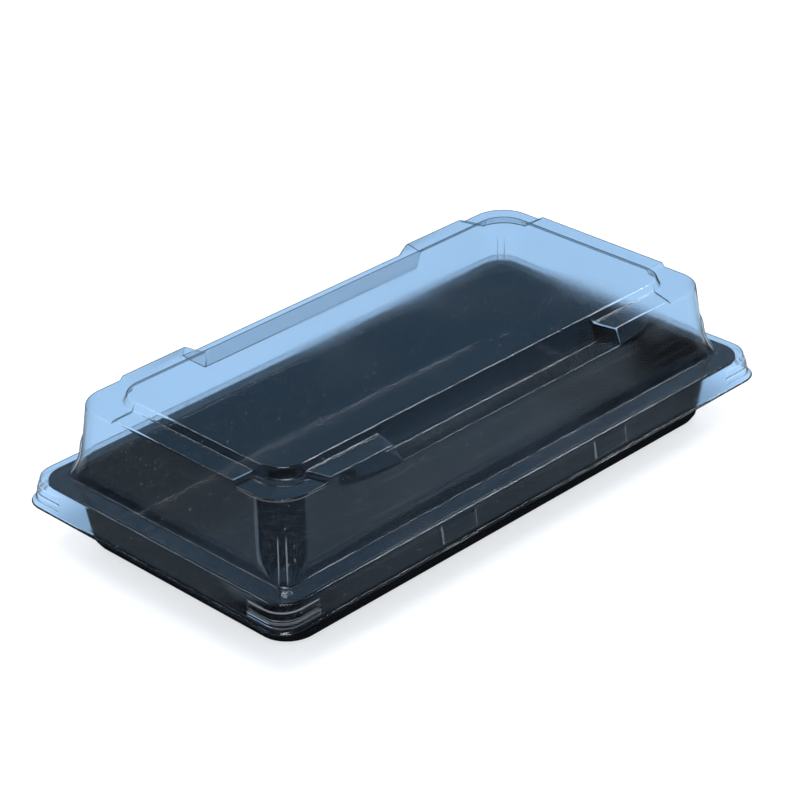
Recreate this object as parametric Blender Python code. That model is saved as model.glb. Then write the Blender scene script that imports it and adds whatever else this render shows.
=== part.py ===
"""Takeaway sushi tray, closed and empty: a black formed tray and its clear press-fit lid.

Both pieces are thin shells formed from plastic sheet. A shell is a stack of rounded rectangles on
one centre. Each rectangle is a level, written as its inset from the outermost outline, its height
and its corner radius. The pack stands on its flat base, with its length along X.
"""

import math

import bmesh
import bpy

MM = 0.001
QUARTER_TURN = math.pi / 2

# Driving dimensions of the closed pack, in millimetres like every length below
LENGTH = 216.0
WIDTH = 118.0
HEIGHT = 52.0
LID_SHEET = 0.5
TRAY_SHEET = 0.6
REST_GAP = 0.3

# Tray
TRAY_FLOOR_INSET = 14.0
TRAY_WALL_FOOT_INSET = 11.9
TRAY_WALL_FOOT_HEIGHT = 2.1
TRAY_CORNER_RADIUS = 11.6
TRAY_WALL_TOP_INSET = 9.6
TRAY_BEND = 0.7
TRAY_FLANGE_TOP = 23.0
TRAY_RIM_INSET = 4.1
TRAY_RIM_RADIUS = 7.6
TRAY_RIM_BEND = 0.4
TRAY_RIM_DEPTH = 1.5

# Lid: raised top panel, and the ledge, corner shoulders and two grip recesses around it
PANEL_INSET = 22.5
PANEL_RADIUS = 9.0
PANEL_ROUNDING = 0.5
PANEL_EDGE_DROP = 0.2
STEP_FOOT_INSET = 21.0
STEP_FOOT_RADIUS = 10.5
LEDGE_DROP = 2.0
SHOULDER_DROP = 3.3
RECESS_DROP = 8.2
RECESS_RISE = 1.6
RECESS_STEP_RUN = 1.6
RECESS_BULGE = 2.3
SHELF_ROUNDING = 0.9

# Places along a side, from its middle, where the ledge changes height
RECESS_END = 48.7
LONG_SHOULDER_START = 74.8
SHORT_SHOULDER_START = 25.8
STEP_LENGTH = 2.4

# Lid: drafted wall, which squares off into the flange at the corners
WALL_TOP_INSET = 12.9
WALL_RADIUS = 11.0
WALL_FOOT_INSET = 10.1
WALL_FOOT_RADIUS = 2.9
FLARE_RISE = 13.0
FLARE_LEVELS = (0.9, 0.6, 0.35, 0.15, 0.0)

# Lid: flange, and the skirt that grips the tray's rim from outside
LID_FLANGE_TOP = TRAY_FLANGE_TOP + REST_GAP + LID_SHEET
LID_RIM_INSET = 2.4
LID_RIM_RADIUS = 7.9
LID_RIM_ROUNDING = 0.7
SKIRT_FOOT_INSET = 1.4
SKIRT_FOOT_HEIGHT = 16.2
LIP_HEIGHT = 15.4
LIP_RADIUS = 8.2

# Snap lugs pressed into the skirt round each corner
LUG_HEIGHT = 18.6
LUG_HALF_HEIGHT = 1.9
LUG_DEPTH = 1.4
LUG_SHAPE = ((1.0, 0.0), (0.6, 0.8), (0.0, 1.0), (-0.6, 0.8), (-1.0, 0.0))
LUG_END = 2.0
LUG_RUN_OUT = 2.0
TOP_SLIDE_SHARE = 0.05

# How finely the curves are divided
CORNER_SEGMENTS = 8
STEP_SAMPLES = (-0.5, -0.17, 0.17, 0.5)
FLOOR_CURVE_ANGLES = (math.radians(30), math.radians(60))
HALF_ROUND = 1 - math.sqrt(0.5)
SHARP_EDGE_ANGLE = math.radians(35)


def blend(start, end, share):
    """Value a share of the way from start to end."""
    return start + (end - start) * share


def ease(value):
    """Smooth rise from 0 to 1 while the value goes from 0 to 1."""
    value = min(max(value, 0.0), 1.0)
    return value * value * (3 - 2 * value)


class SideStation:
    """A place on a straight side. Odd sides are the long ones."""

    def __init__(self, side, along):
        self.side = side
        self.along = along

    def point(self, inset, _radius):
        """Place on the level with this inset."""
        half_length = LENGTH / 2 - inset
        half_width = WIDTH / 2 - inset
        places = (
            (half_length, self.along),
            (-self.along, half_width),
            (-half_length, -self.along),
            (self.along, -half_width),
        )
        return places[self.side]

    def shoulder_share(self):
        """1 on a corner shoulder, 0 on the ledge, and between them on the step."""
        start = (SHORT_SHOULDER_START, LONG_SHOULDER_START)[self.side % 2]
        return ease((abs(self.along) - start) / STEP_LENGTH + 0.5)

    def recess_share(self):
        """1 in the grip recess of a long side, and 0 away from it."""
        return (self.side % 2) * ease((RECESS_END - abs(self.along)) / STEP_LENGTH + 0.5)

    def lug_share(self):
        """The lugs stay near the corners."""
        return 0.0


class CornerStation:
    """A place on a corner's arc, or on the straight before or after it, closer to it further in."""

    def __init__(self, corner, turn, before=0.0, after=0.0):
        self.corner = corner
        self.angle = corner * QUARTER_TURN + turn
        self.slide = after - before

    def point(self, inset, radius):
        """Place on the level with this inset and corner radius."""
        sign_x = (1, -1, -1, 1)[self.corner]
        sign_y = (1, 1, -1, -1)[self.corner]
        centre_x = sign_x * (LENGTH / 2 - inset - radius)
        centre_y = sign_y * (WIDTH / 2 - inset - radius)
        cosine = math.cos(self.angle)
        sine = math.sin(self.angle)
        slide = self.slide * blend(1.0, TOP_SLIDE_SHARE, min(inset / STEP_FOOT_INSET, 1.0))
        x = centre_x + radius * cosine - slide * sine
        y = centre_y + radius * sine + slide * cosine
        return x, y

    def shoulder_share(self):
        """The whole corner is shoulder."""
        return 1.0

    def recess_share(self):
        """No recess reaches a corner."""
        return 0.0

    def lug_share(self):
        """1 along a snap lug, and 0 where it has run out."""
        return 1.0 if abs(self.slide) <= LUG_END else 0.0


def step_stations(side):
    """Stations along one side that follow each change of the ledge's height."""
    starts = [RECESS_END, LONG_SHOULDER_START] if side % 2 else [SHORT_SHOULDER_START]
    places = [start + STEP_LENGTH * sample for start in starts for sample in STEP_SAMPLES]
    return [SideStation(side, along) for along in sorted(places + [-place for place in places])]


def tray_stations():
    """Stations once round the tray, counterclockwise from +X."""
    return [
        CornerStation(corner, QUARTER_TURN * step / CORNER_SEGMENTS)
        for corner in range(4)
        for step in range(CORNER_SEGMENTS + 1)
    ]


def lid_stations():
    """Stations once round the lid, with extra ones for its steps and its lugs."""
    run_outs = (LUG_END, LUG_END + LUG_RUN_OUT)
    stations = []
    for corner in range(4):
        stations += step_stations(corner)
        stations += [CornerStation(corner, 0.0, before=run) for run in reversed(run_outs)]
        for step in range(CORNER_SEGMENTS + 1):
            stations.append(CornerStation(corner, QUARTER_TURN * step / CORNER_SEGMENTS))
        stations += [CornerStation(corner, QUARTER_TURN, after=run) for run in run_outs]
    return stations


def tray_face(_station):
    """Levels of the tray's outer face, from the edge of its floor out to its rim."""
    underside = TRAY_FLANGE_TOP - TRAY_SHEET
    rim_inside = TRAY_RIM_INSET + TRAY_SHEET
    rim_radius = TRAY_RIM_RADIUS - TRAY_SHEET
    floor_curve = TRAY_FLOOR_INSET - TRAY_WALL_FOOT_INSET
    floor_radius = TRAY_CORNER_RADIUS - floor_curve
    levels = [(TRAY_FLOOR_INSET, 0.0, floor_radius)]
    for angle in FLOOR_CURVE_ANGLES:
        out = floor_curve * math.sin(angle)
        up = TRAY_WALL_FOOT_HEIGHT * (1 - math.cos(angle))
        levels.append((TRAY_FLOOR_INSET - out, up, floor_radius + out))
    return levels + [
        (TRAY_WALL_FOOT_INSET, TRAY_WALL_FOOT_HEIGHT, TRAY_CORNER_RADIUS),
        (TRAY_WALL_TOP_INSET, underside - TRAY_BEND, TRAY_CORNER_RADIUS - TRAY_BEND),
        (TRAY_WALL_TOP_INSET - TRAY_BEND, underside, TRAY_CORNER_RADIUS),
        (rim_inside + TRAY_RIM_BEND, underside, rim_radius - TRAY_RIM_BEND),
        (rim_inside, underside - TRAY_RIM_BEND, rim_radius),
        (rim_inside, TRAY_FLANGE_TOP - TRAY_RIM_DEPTH, rim_radius),
    ]


def lid_wall(height, wall_top, recess):
    """Level of the lid's wall at a height: it leans in, and its corners open out to the flange."""
    rise = height - LID_FLANGE_TOP
    draft = (WALL_TOP_INSET - WALL_FOOT_INSET) / (HEIGHT - LEDGE_DROP - LID_FLANGE_TOP)
    bulge = RECESS_BULGE * recess * rise / (wall_top - LID_FLANGE_TOP)
    squareness = max(1 - rise / FLARE_RISE, 0.0) ** 2
    radius = blend(WALL_RADIUS, WALL_FOOT_RADIUS, squareness)
    return WALL_FOOT_INSET + draft * rise - bulge, height, radius


def lid_top(station):
    """Levels of the lid from its top panel out to the top of its wall."""
    recess = station.recess_share()
    drop = blend(LEDGE_DROP, SHOULDER_DROP, station.shoulder_share())
    shelf = HEIGHT - blend(drop, RECESS_DROP, recess)
    shelf_edge = shelf + RECESS_RISE * recess
    wall_top = shelf_edge - SHELF_ROUNDING
    edge = lid_wall(wall_top, wall_top, recess)
    step_foot = STEP_FOOT_INSET - RECESS_STEP_RUN * recess
    half_round = HALF_ROUND * SHELF_ROUNDING
    return [
        (PANEL_INSET + PANEL_ROUNDING, HEIGHT, PANEL_RADIUS - PANEL_ROUNDING),
        (PANEL_INSET, HEIGHT - PANEL_EDGE_DROP, PANEL_RADIUS),
        (step_foot, shelf, STEP_FOOT_RADIUS),
        (edge[0] + SHELF_ROUNDING, shelf_edge, edge[2] - SHELF_ROUNDING),
        (edge[0] + half_round, shelf_edge - half_round, edge[2] - half_round),
        edge,
    ]


def lid_skirt(station):
    """Levels of the lid's skirt, from the rim down to the lip, with the lug pressed in."""
    rim_foot = LID_FLANGE_TOP - LID_RIM_ROUNDING
    levels = [
        (LID_RIM_INSET + LID_RIM_ROUNDING, LID_FLANGE_TOP, LID_RIM_RADIUS - LID_RIM_ROUNDING),
        (LID_RIM_INSET, rim_foot, LID_RIM_RADIUS),
    ]
    for offset, share in LUG_SHAPE:
        height = LUG_HEIGHT + LUG_HALF_HEIGHT * offset
        down = (rim_foot - height) / (rim_foot - SKIRT_FOOT_HEIGHT)
        pressed = LUG_DEPTH * share * station.lug_share()
        inset = blend(LID_RIM_INSET, SKIRT_FOOT_INSET, down) + pressed
        radius = blend(LID_RIM_RADIUS, LIP_RADIUS - SKIRT_FOOT_INSET, down) - pressed
        levels.append((inset, height, radius))
    levels.append((SKIRT_FOOT_INSET, SKIRT_FOOT_HEIGHT, LIP_RADIUS - SKIRT_FOOT_INSET))
    levels.append((0.0, LIP_HEIGHT, LIP_RADIUS))
    return levels


def lid_face(station):
    """Levels of the lid's outer face at one station, from the top panel down to the lip."""
    top = lid_top(station)
    wall_top = top[-1][1]
    wall = [
        lid_wall(LID_FLANGE_TOP + FLARE_RISE * share, wall_top, station.recess_share())
        for share in FLARE_LEVELS
    ]
    return top + wall + lid_skirt(station)


def offset_face(levels, thickness):
    """The sheet's other face: each level moved square to the profile by the thickness."""
    moved = []
    for index, (inset, height, radius) in enumerate(levels):
        normals = []
        for first, second in zip(levels[max(index - 1, 0):], levels[max(index, 1):index + 2]):
            run = first[0] - second[0]
            rise = second[1] - first[1]
            size = math.hypot(run, rise)
            normals.append((rise / size, -run / size))
        across = sum(normal[0] for normal in normals)
        down = sum(normal[1] for normal in normals)
        reach = thickness * len(normals) / (across ** 2 + down ** 2)
        change = across * reach
        moved.append((inset - change, height + down * reach, radius + change))
    return moved


def plastic(name, colour, roughness, alpha=1.0):
    """Principled material of one plastic."""
    material = bpy.data.materials.new(name)
    material.use_nodes = True
    shader = material.node_tree.nodes["Principled BSDF"]
    shader.inputs["Base Color"].default_value = (*colour, 1.0)
    shader.inputs["Roughness"].default_value = roughness
    shader.inputs["Metallic"].default_value = 0.0
    shader.inputs["Alpha"].default_value = alpha
    return material


def formed_shell(name, stations, face, thickness, material):
    """Closed shell of formed sheet: its face at every station, its other face, and both middles."""
    mesh = bpy.data.meshes.new(name)
    shell = bmesh.new()
    columns = []
    for station in stations:
        levels = face(station)
        around = levels + list(reversed(offset_face(levels, thickness)))
        column = []
        for inset, height, radius in around:
            x, y = station.point(inset, radius)
            column.append(shell.verts.new((x * MM, y * MM, height * MM)))
        columns.append(column)
    for column, following in zip(columns, columns[1:] + columns[:1]):
        for level in range(len(column) - 1):
            shell.faces.new((column[level], column[level + 1], following[level + 1], following[level]))
    shell.faces.new([column[0] for column in columns])
    shell.faces.new([column[-1] for column in reversed(columns)])
    bmesh.ops.recalc_face_normals(shell, faces=shell.faces)
    shell.to_mesh(mesh)
    shell.free()
    mesh.shade_smooth()
    mesh.set_sharp_from_angle(angle=SHARP_EDGE_ANGLE)
    mesh.materials.append(material)
    shell_object = bpy.data.objects.new(name, mesh)
    bpy.context.scene.collection.objects.link(shell_object)
    return shell_object


def main():
    """Build the tray and its lid in their closed place."""
    for leftover in list(bpy.data.objects):
        bpy.data.objects.remove(leftover, do_unlink=True)
    black = plastic("black_polystyrene", (0.008, 0.009, 0.011), 0.22)
    clear = plastic("clear_polystyrene", (0.62, 0.76, 0.90), 0.06, alpha=0.35)
    formed_shell("tray", tray_stations(), tray_face, -TRAY_SHEET, black)
    formed_shell("lid", lid_stations(), lid_face, LID_SHEET, clear)


main()
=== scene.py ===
"""Closed takeaway sushi tray, dressed for rendering: a gloss black base under a clear press-fit lid.

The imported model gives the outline, the heights of the flanges and the place of everything. Both formed
sheets are made again here with finer bends, a thinner sheet and the small pressed details, and each gets
the plastic that it is made of. Lengths in the classes are millimetres; meshes are metres.
"""

import logging
import math
from bisect import bisect_right
from dataclasses import dataclass, field
from enum import Enum
from typing import Any, Callable, NamedTuple, Protocol, Sequence

import bmesh
import bpy
from mathutils import Matrix, Vector


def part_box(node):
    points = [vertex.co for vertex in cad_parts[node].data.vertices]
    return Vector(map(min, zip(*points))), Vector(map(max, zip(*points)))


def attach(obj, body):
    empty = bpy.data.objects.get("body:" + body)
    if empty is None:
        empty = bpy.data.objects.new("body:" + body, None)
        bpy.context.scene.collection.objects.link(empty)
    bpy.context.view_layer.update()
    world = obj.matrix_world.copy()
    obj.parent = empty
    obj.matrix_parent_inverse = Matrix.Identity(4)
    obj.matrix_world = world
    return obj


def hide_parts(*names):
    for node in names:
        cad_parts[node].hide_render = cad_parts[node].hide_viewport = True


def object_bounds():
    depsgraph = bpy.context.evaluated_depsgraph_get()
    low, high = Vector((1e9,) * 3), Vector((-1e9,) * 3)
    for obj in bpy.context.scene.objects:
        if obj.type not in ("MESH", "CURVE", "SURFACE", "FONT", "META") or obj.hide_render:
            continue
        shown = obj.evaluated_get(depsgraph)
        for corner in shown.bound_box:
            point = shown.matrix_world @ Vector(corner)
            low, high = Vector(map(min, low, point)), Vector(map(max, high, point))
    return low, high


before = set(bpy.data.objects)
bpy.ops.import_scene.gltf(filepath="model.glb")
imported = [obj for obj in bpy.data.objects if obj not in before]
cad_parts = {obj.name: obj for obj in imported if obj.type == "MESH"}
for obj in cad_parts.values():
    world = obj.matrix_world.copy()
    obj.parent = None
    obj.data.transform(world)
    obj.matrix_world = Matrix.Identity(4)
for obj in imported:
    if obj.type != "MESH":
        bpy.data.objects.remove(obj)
CAD_LOW, CAD_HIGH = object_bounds()

LOG = logging.getLogger("sushi_tray")
BODY = "root"
MM = 0.001
QUARTER_TURN = math.pi / 2
OUTWARD = "outward"
# Attribute with the painted highlight lines along the lid's pressed edges.
EDGE_HIGHLIGHT = "painted_edge_highlight"


# ---------------------------------------------------------------------------------------------------
# Sheet profiles
# ---------------------------------------------------------------------------------------------------


class Level(NamedTuple):
    """A rounded rectangle of a formed sheet: its inset from the outline, height and corner radius."""

    inset: float
    height: float
    radius: float


class Bend(NamedTuple):
    """A corner of a sheet's profile before it is rounded off over a length on each side."""

    inset: float
    height: float
    radius: float
    rounding: float = 0.0


def blend(start: float, end: float, share: float) -> float:
    """Value a share of the way from start to end."""
    return start + (end - start) * share


def ease(value: float) -> float:
    """Smooth rise from 0 to 1 while the value goes from 0 to 1."""
    value = min(max(value, 0.0), 1.0)
    return value * value * (3.0 - 2.0 * value)


def between(first: Sequence[float], second: Sequence[float], share: float) -> Level:
    """Level a share of the way from the first to the second."""
    return Level(*(blend(a, b, share) for a, b in zip(first[:3], second[:3])))


def rounded_profile(bends: Sequence[Bend], steps: int) -> list[Level]:
    """Round the bends of a profile.

    Each rounded bend gets one more level just outside each end of its curve, which keeps the flats
    beside it evenly shaded.

    Args:
        bends: Profile from end to end.
        steps: Divisions of each rounded bend.

    Returns:
        Levels of the rounded profile, the same number for any profile with the same bends rounded.
    """
    levels = [between(bends[0], bends[0], 0.0)]
    for before, bend, after in zip(bends, bends[1:], bends[2:]):
        if not bend.rounding:
            levels.append(between(bend, bend, 0.0))
            continue
        shares = []
        for other in (before, after):
            gap = math.hypot(other.inset - bend.inset, other.height - bend.height)
            shares.append(min(bend.rounding / gap, 0.36))
        start = between(bend, before, shares[0])
        end = between(bend, after, shares[1])
        levels.append(between(bend, before, 1.3 * shares[0]))
        for step in range(steps + 1):
            share = step / steps
            levels.append(between(between(start, bend, share), between(bend, end, share), share))
        levels.append(between(bend, after, 1.3 * shares[1]))
    levels.append(between(bends[-1], bends[-1], 0.0))
    return levels


def other_face(levels: Sequence[Level], thickness: float) -> list[Level]:
    """Levels of the sheet's other face.

    Args:
        levels: Levels of one face.
        thickness: How far the other face lies below and inside it. Above and outside if negative.

    Returns:
        One level for each, moved square to the profile.
    """
    moved = []
    for index, level in enumerate(levels):
        across = down = count = 0.0
        for first, second in zip(levels[max(index - 1, 0):], levels[max(index, 1):index + 2]):
            run = first.inset - second.inset
            rise = second.height - first.height
            size = math.hypot(run, rise)
            if size > 1e-6:
                across += rise / size
                down -= run / size
                count += 1
        reach = thickness * count / (across ** 2 + down ** 2)
        change = across * reach
        moved.append(Level(level.inset - change, level.height + down * reach, level.radius + change))
    return moved


@dataclass(frozen=True)
class Outline:
    """Outermost rounded rectangle of the closed pack and its height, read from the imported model."""

    length: float
    width: float
    height: float

    @classmethod
    def from_frame(cls) -> "Outline":
        """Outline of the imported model's box."""
        size = (CAD_HIGH - CAD_LOW) / MM
        return cls(size.x, size.y, size.z)


# ---------------------------------------------------------------------------------------------------
# Node trees and meshes
# ---------------------------------------------------------------------------------------------------


def add_node(
    tree: bpy.types.NodeTree,
    kind: str,
    settings: dict[str, Any] | None = None,
    feeds: dict[int | str, Any] | None = None,
) -> bpy.types.Node:
    """Add a node with its settings and its links.

    Args:
        tree: Tree that gets the node.
        kind: Blender's name for the type of node.
        settings: Properties of the node.
        feeds: Inputs by name or place, each with a plain value, an output socket, or a node whose
            first output in use is linked.

    Returns:
        The new node.
    """
    node = tree.nodes.new(kind)
    for key, value in (settings or {}).items():
        setattr(node, key, value)
    for key, value in (feeds or {}).items():
        socket = node.inputs[key]
        if isinstance(value, bpy.types.Node):
            value = next(output for output in value.outputs if output.enabled)
        if isinstance(value, bpy.types.NodeSocket):
            tree.links.new(value, socket)
        else:
            socket.default_value = value
    return node


def geometry_tree(name: str, sizes: Sequence[str]) -> tuple[bpy.types.NodeTree, bpy.types.Node, bpy.types.Node]:
    """Start a geometry tree that takes and gives a geometry.

    Args:
        name: Name of the tree.
        sizes: Names of its number inputs.

    Returns:
        The tree, its input node and its output node.
    """
    tree = bpy.data.node_groups.new(name, "GeometryNodeTree")
    tree.interface.new_socket("Geometry", in_out="INPUT", socket_type="NodeSocketGeometry")
    tree.interface.new_socket("Geometry", in_out="OUTPUT", socket_type="NodeSocketGeometry")
    for size in sizes:
        tree.interface.new_socket(size, in_out="INPUT", socket_type="NodeSocketFloat")
    tree.interface.new_socket("Material", in_out="INPUT", socket_type="NodeSocketMaterial")
    return tree, tree.nodes.new("NodeGroupInput"), tree.nodes.new("NodeGroupOutput")


def apply_tree(piece: bpy.types.Object, tree: bpy.types.NodeTree, values: dict[str, Any]) -> None:
    """Run a geometry tree on a piece and keep the result as its plain mesh.

    Args:
        piece: Object that the tree changes.
        tree: The geometry tree.
        values: Value of each named input.
    """
    modifier = piece.modifiers.new(tree.name, "NODES")
    modifier.node_group = tree
    for item in tree.interface.items_tree:
        if item.in_out == "INPUT" and item.name in values:
            modifier[item.identifier] = values[item.name]
    depsgraph = bpy.context.evaluated_depsgraph_get()
    evaluated = piece.evaluated_get(depsgraph)
    mesh = bpy.data.meshes.new_from_object(evaluated, preserve_all_data_layers=True, depsgraph=depsgraph)
    piece.modifiers.clear()
    piece.data = mesh
    mesh.name = piece.name


def new_piece(name: str, mesh: bpy.types.Mesh) -> bpy.types.Object:
    """Object at the origin that shows a mesh."""
    piece = bpy.data.objects.new(name, mesh)
    bpy.context.scene.collection.objects.link(piece)
    return piece


def face_outwards(mesh: bpy.types.Mesh) -> None:
    """Turn the faces of a closed mesh outwards and shade them smoothly."""
    shell = bmesh.new()
    shell.from_mesh(mesh)
    bmesh.ops.remove_doubles(shell, verts=shell.verts, dist=1e-6)
    bmesh.ops.recalc_face_normals(shell, faces=shell.faces)
    shell.to_mesh(mesh)
    shell.free()
    mesh.shade_smooth()


def linear(colour: str) -> tuple[float, float, float, float]:
    """Linear RGBA of an sRGB hex colour."""
    channels = (int(colour[place:place + 2], 16) / 255 for place in (1, 3, 5))
    red, green, blue = (c / 12.92 if c <= 0.04045 else ((c + 0.055) / 1.055) ** 2.4 for c in channels)
    return red, green, blue, 1.0


# ---------------------------------------------------------------------------------------------------
# Finishes
# ---------------------------------------------------------------------------------------------------


class Finish(Protocol):
    """A plastic that can make its material."""

    def material(self) -> bpy.types.Material:
        """Material of the finish."""


def by_path(
    tree: bpy.types.NodeTree, seen: bpy.types.Node, through: bpy.types.Node, reflected: bpy.types.Node
) -> bpy.types.Node:
    """Mix three shaders by the way that the light takes to the eye.

    Args:
        tree: Tree that gets the nodes.
        seen: Shader that is seen straight, and that lights matt surfaces.
        through: Shader that is seen through the clear sheet.
        reflected: Shader that gloss reflects, also through the sheet.

    Returns:
        The mixed shader.
    """
    path = add_node(tree, "ShaderNodeLightPath")
    mirrored = add_node(
        tree, "ShaderNodeMath", {"operation": "MINIMUM"}, {0: path.outputs["Glossy Depth"], 1: 1.0}
    )
    straight = add_node(
        tree,
        "ShaderNodeMixShader",
        feeds={0: path.outputs["Is Transmission Ray"], 1: seen, 2: through},
    )
    return add_node(tree, "ShaderNodeMixShader", feeds={0: mirrored, 1: straight, 2: reflected})


def empty_material(name: str) -> tuple[bpy.types.Material, bpy.types.NodeTree]:
    """New material with an empty node tree."""
    material = bpy.data.materials.new(name)
    material.use_nodes = True
    material.node_tree.nodes.clear()
    return material, material.node_tree


@dataclass(frozen=True)
class BlackPolystyrene:
    """Black high-impact polystyrene, vacuum formed over a polished mould.

    The sheet is black right through and has a wet gloss. Forming draws it along its length, which
    leaves faint long streaks in the gloss, and stacking leaves a little dust and fine rubbing.
    """

    body: str = "#0d0f12"
    dust: str = "#8d97a3"
    specular: float = 0.2
    roughness: float = 0.16
    rubbed_roughness: float = 0.22
    streak_mm: float = 2.2
    streak_length_mm: float = 60.0
    ripple_mm: float = 24.0

    def material(self) -> bpy.types.Material:
        """Material of the finish."""
        material, tree = empty_material("black_formed_polystyrene")
        place = add_node(tree, "ShaderNodeTexCoord")
        streaks = add_node(
            tree,
            "ShaderNodeMapping",
            feeds={
                "Vector": place.outputs["Object"],
                "Scale": (1 / (self.streak_length_mm * MM), 1 / (self.streak_mm * MM), 1 / (self.streak_mm * MM)),
            },
        )
        streak_noise = add_node(
            tree, "ShaderNodeTexNoise", feeds={"Vector": streaks, "Scale": 1.0, "Detail": 3.0, "Roughness": 0.6}
        )
        ripple = add_node(
            tree,
            "ShaderNodeTexNoise",
            feeds={"Vector": place.outputs["Object"], "Scale": 1 / (self.ripple_mm * MM), "Detail": 1.0},
        )
        gloss = add_node(
            tree,
            "ShaderNodeMapRange",
            feeds={
                "Value": streak_noise,
                "From Min": 0.35,
                "From Max": 0.7,
                "To Min": self.roughness,
                "To Max": self.rubbed_roughness,
            },
        )
        dust_noise = add_node(
            tree,
            "ShaderNodeTexNoise",
            feeds={"Vector": place.outputs["Object"], "Scale": 1 / (0.7 * MM), "Detail": 2.0},
        )
        dust_share = add_node(
            tree,
            "ShaderNodeMapRange",
            feeds={"Value": dust_noise, "From Min": 0.66, "From Max": 0.8, "To Min": 0.0, "To Max": 0.12},
        )
        colour = add_node(
            tree,
            "ShaderNodeMix",
            {"data_type": "RGBA"},
            {"Factor": dust_share, 6: linear(self.body), 7: linear(self.dust)},
        )
        ripple_bump = add_node(
            tree, "ShaderNodeBump", feeds={"Height": ripple, "Strength": 0.07, "Distance": 0.4 * MM}
        )
        streak_bump = add_node(
            tree,
            "ShaderNodeBump",
            feeds={"Height": streak_noise, "Strength": 0.1, "Distance": 0.05 * MM, "Normal": ripple_bump},
        )
        shader = add_node(
            tree,
            "ShaderNodeBsdfPrincipled",
            feeds={
                "Base Color": colour.outputs[2],
                "Roughness": gloss,
                "IOR": 1.55,
                "Specular IOR Level": self.specular,
                "Normal": streak_bump,
            },
        )
        add_node(tree, "ShaderNodeOutputMaterial", feeds={"Surface": shader})
        return material


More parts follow.
